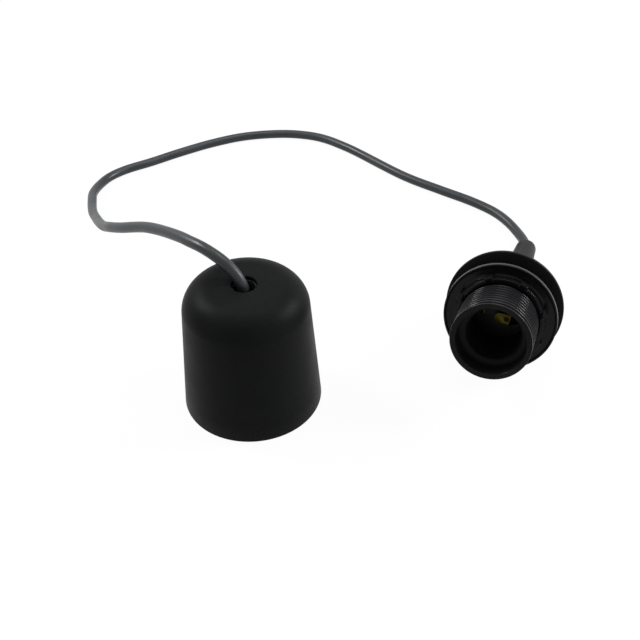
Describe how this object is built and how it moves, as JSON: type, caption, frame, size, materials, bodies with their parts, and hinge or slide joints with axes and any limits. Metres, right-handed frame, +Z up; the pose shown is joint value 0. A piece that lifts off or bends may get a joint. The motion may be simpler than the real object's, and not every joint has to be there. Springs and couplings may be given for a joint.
{
  "type": "pendant cord set",
  "caption": "Short pendant cord set: a round-shouldered ceiling canopy and a screw lamp holder with a shade ring, joined by a thin round cord.",
  "frame": {"origin": "on the surface, under the middle of the box around the canopy and the holder, without the cord", "axes": "+Z up, +X from the canopy towards the holder, +Y away from the lamp's mouth"},
  "size_m": [0.2784, 0.2983, 0.0844],
  "materials": {
    "cup_plastic": "fine-grained matt moulding",
    "holder_plastic": "smooth satin-gloss moulding",
    "clamp_plastic": "smooth satin moulding",
    "contact_plastic": "smooth dark insulating moulding",
    "pale_plastic": "translucent white moulding",
    "cord_sheath": "smooth semi-gloss flexible sheath",
    "brown_core": "smooth insulation",
    "blue_core": "smooth insulation",
    "brass": "rolled and stamped",
    "steel": "zinc plated"
  },
  "bodies": {
    "root": {"canopy_cup": "cup_plastic", "jaw_front": "clamp_plastic", "jaw_rear": "clamp_plastic", "jaw_screw_left": "steel", "jaw_screw_right": "steel", "hanger_strap": "steel", "hanger_screw_front": "steel", "hanger_screw_rear": "steel", "terminal_block": "pale_plastic", "terminal_tube_live": "brass", "terminal_tube_neutral": "brass", "terminal_screw_live_1": "steel", "terminal_screw_live_2": "steel", "terminal_screw_neutral_1": "steel", "terminal_screw_neutral_2": "steel", "canopy_core_live": "brown_core", "canopy_core_neutral": "blue_core", "cord": "cord_sheath", "holder_cap": "holder_plastic", "holder_barrel": "holder_plastic", "shade_ring": "holder_plastic", "contact_block": "contact_plastic", "centre_contact": "brass", "side_contact": "brass", "centre_terminal": "brass", "side_terminal": "brass", "centre_terminal_screw": "steel", "side_terminal_screw": "steel", "saddle_bar": "contact_plastic", "saddle_screw_left": "steel", "saddle_screw_right": "steel", "holder_core_live": "brown_core", "holder_core_neutral": "blue_core"}
  },
  "joints": []
}
